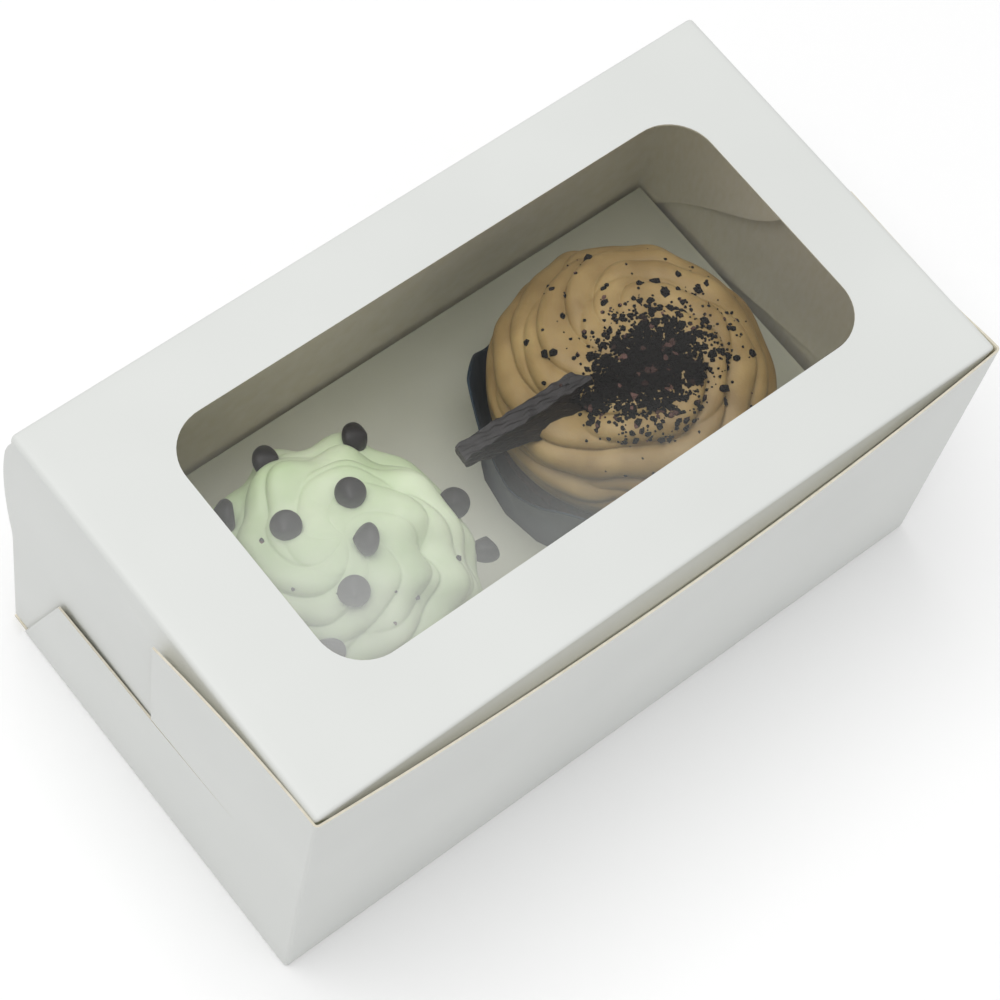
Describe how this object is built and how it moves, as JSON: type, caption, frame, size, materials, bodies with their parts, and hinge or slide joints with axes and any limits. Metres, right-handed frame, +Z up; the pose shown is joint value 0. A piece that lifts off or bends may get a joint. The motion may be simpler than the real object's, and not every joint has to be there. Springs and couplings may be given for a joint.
{
  "type": "windowed cupcake box",
  "caption": "Folded white paperboard cupcake carton with a hinged lid, a clear film window, an insert with round holes and iced cupcakes inside.",
  "frame": {"origin": "middle of the base's underside, on the surface that the carton stands on", "axes": "+X along the carton's long side, +Y towards the lid's hinge, +Z up"},
  "size_m": [0.1663, 0.0956, 0.0778],
  "materials": {
    "white_board": "smooth white coated face, cream cut edges",
    "clear_film": "clear glossy plastic film",
    "insert_board": "uncoated matt board",
    "white_paper": "fluted greaseproof paper",
    "black_paper": "matt black greaseproof paper",
    "vanilla_sponge": "baked sponge crumb",
    "chocolate_sponge": "baked chocolate sponge crumb",
    "mint_icing": "soft satin buttercream",
    "mocha_icing": "soft satin buttercream",
    "chocolate": "satin dark chocolate",
    "chocolate_crumb": "dry dark biscuit crumb"
  },
  "bodies": {
    "carton": {"carton_body": "white_board", "insert_tray": "insert_board", "mint_liner": "white_paper", "mint_sponge": "vanilla_sponge", "mint_icing": "mint_icing", "chocolate_chip_01": "chocolate", "chocolate_chip_02": "chocolate", "chocolate_chip_03": "chocolate", "chocolate_chip_04": "chocolate", "chocolate_chip_05": "chocolate", "chocolate_chip_06": "chocolate", "chocolate_chip_07": "chocolate", "chocolate_chip_08": "chocolate", "chocolate_chip_09": "chocolate", "chocolate_chip_10": "chocolate", "mocha_liner": "black_paper", "mocha_sponge": "chocolate_sponge", "mocha_icing": "mocha_icing", "chocolate_bar": "chocolate", "chocolate_crumbs": "chocolate_crumb"},
    "lid": {"lid": "white_board", "window_film": "clear_film"}
  },
  "joints": [
    {"name": "lid_hinge", "type": "hinge", "parent": "carton", "child": "lid", "pos_m": [0, 0.045, 0.0778], "axis": [-1, 0, 0], "range_deg": [0, 180]}
  ]
}
